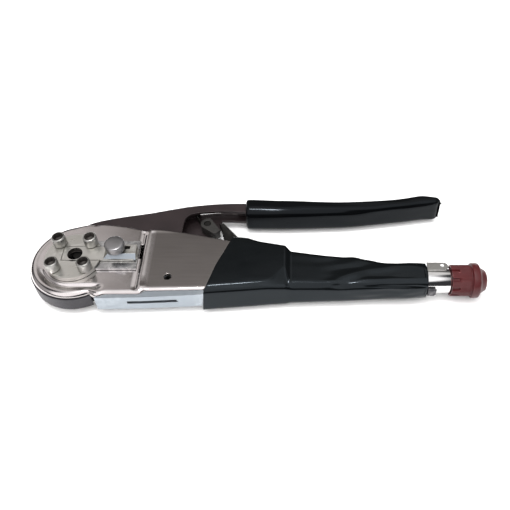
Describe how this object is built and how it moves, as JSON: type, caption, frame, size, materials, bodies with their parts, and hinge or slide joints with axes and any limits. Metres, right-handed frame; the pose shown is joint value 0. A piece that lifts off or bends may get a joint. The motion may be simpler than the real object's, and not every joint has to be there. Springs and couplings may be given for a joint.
{
  "type": "crimping tool",
  "caption": "Hand crimping tool with a round indent head, sliding contact locator, gripped handles and an adjuster knob at the tail.",
  "frame": {"origin": "centre of the tool as it lies on its back, on the surface that it lies on", "axes": "+X along the tool from the head to the adjuster knob, +Y towards the moving handle, +Z out of the face with the locator"},
  "size_m": [0.2532, 0.0745, 0.0275],
  "materials": {
    "chrome": "polished nickel-chrome plate with soft reflections",
    "nickel": "satin nickel plate, finely ground",
    "zinc": "blue-white zinc plate, satin",
    "bright_steel": "ground tool steel",
    "screw_steel": "turned steel, slightly darkened",
    "blackened_steel": "black oxide, satin",
    "painted_steel": "dark brown enamel, satin",
    "black_vinyl": "dipped black vinyl, glossy with fine ripples",
    "red_plastic": "moulded dark red plastic, satin"
  },
  "bodies": {
    "frame": {"front_cover": "chrome", "rear_cover": "chrome", "frame_channel": "zinc", "indenter_housing": "bright_steel", "locator_plate": "nickel", "locator_base": "zinc", "locator_screw_1": "screw_steel", "locator_screw_2": "screw_steel", "locator_screw_3": "screw_steel", "locator_screw_4": "screw_steel", "rear_screw_1": "screw_steel", "rear_screw_2": "screw_steel", "rear_screw_3": "screw_steel", "rear_screw_4": "screw_steel", "cover_dowel": "blackened_steel", "ratchet_plate": "blackened_steel", "plate_rivet_1": "blackened_steel", "plate_rivet_2": "blackened_steel", "lower_grip": "black_vinyl", "tail_tube": "chrome", "detent_spring": "nickel", "tail_clip": "blackened_steel", "opening_spring": "bright_steel"},
    "handle_lever": {"moving_lever": "painted_steel", "cam_ring": "blackened_steel", "lever_rivet_1": "painted_steel", "lever_rivet_2": "painted_steel", "pawl_pin": "bright_steel", "pawl_spring": "bright_steel", "upper_grip": "black_vinyl"},
    "ratchet_pawl": {"pawl": "bright_steel"},
    "indenter_slide_1": {"indenter_1": "bright_steel"},
    "indenter_slide_2": {"indenter_2": "bright_steel"},
    "indenter_slide_3": {"indenter_3": "bright_steel"},
    "indenter_slide_4": {"indenter_4": "bright_steel"},
    "locator": {"locator_slide": "nickel"},
    "thumb_button": {"locator_button": "zinc"},
    "adjuster": {"adjuster_knob": "red_plastic", "adjuster_spindle": "bright_steel", "knob_cap": "chrome"},
    "depth_stop": {"stop_block": "bright_steel"}
  },
  "joints": [
    {"name": "handle_close", "type": "hinge", "parent": "frame", "child": "handle_lever", "pos_m": [-0.1009, -0.01105, 0.00965], "axis": [0, 0, -1], "range_deg": [0, 9], "stiffness_Nm_per_rad": 0.9, "springref_deg": -20.05, "deforming": ["opening_spring"]},
    {"name": "indenter_1_travel", "type": "slide", "parent": "frame", "child": "indenter_slide_1", "axis": [-1, 0, 0], "range_m": [0, 0.00105]},
    {"name": "indenter_2_travel", "type": "slide", "parent": "frame", "child": "indenter_slide_2", "axis": [0, -1, 0], "range_m": [0, 0.00105]},
    {"name": "indenter_3_travel", "type": "slide", "parent": "frame", "child": "indenter_slide_3", "axis": [1, 0, 0], "range_m": [0, 0.00105]},
    {"name": "indenter_4_travel", "type": "slide", "parent": "frame", "child": "indenter_slide_4", "axis": [0, 1, 0], "range_m": [0, 0.00105]},
    {"name": "pawl_swing", "type": "hinge", "parent": "handle_lever", "child": "ratchet_pawl", "pos_m": [-0.0281, 0.01915, 0.00965], "axis": [0, 0, -1], "range_deg": [0, 12], "stiffness_Nm_per_rad": 0.01},
    {"name": "locator_travel", "type": "slide", "parent": "frame", "child": "locator", "axis": [1, 0, 0], "range_m": [0, 0.006]},
    {"name": "button_press", "type": "slide", "parent": "locator", "child": "thumb_button", "axis": [0, 0, -1], "range_m": [0, 0.001], "stiffness_N_per_m": 400, "springref_m": -0.0005},
    {"name": "adjuster_turn", "type": "hinge", "parent": "frame", "child": "adjuster", "pos_m": [0.1091, -0.02125, 0.0096], "axis": [1, 0, 0], "range_deg": [-180, 180]},
    {"name": "stop_travel", "type": "slide", "parent": "frame", "child": "depth_stop", "axis": [1, 0, 0], "range_m": [-0.0005, 0.0005]}
  ],
  "couplings": [
    {"joint": "indenter_1_travel", "follows": "handle_close", "m_per_rad": 0.0065},
    {"joint": "indenter_2_travel", "follows": "handle_close", "m_per_rad": 0.0065},
    {"joint": "indenter_3_travel", "follows": "handle_close", "m_per_rad": 0.0065},
    {"joint": "indenter_4_travel", "follows": "handle_close", "m_per_rad": 0.0065},
    {"joint": "adjuster_turn", "follows": "stop_travel", "rad_per_m": 6283.2}
  ]
}
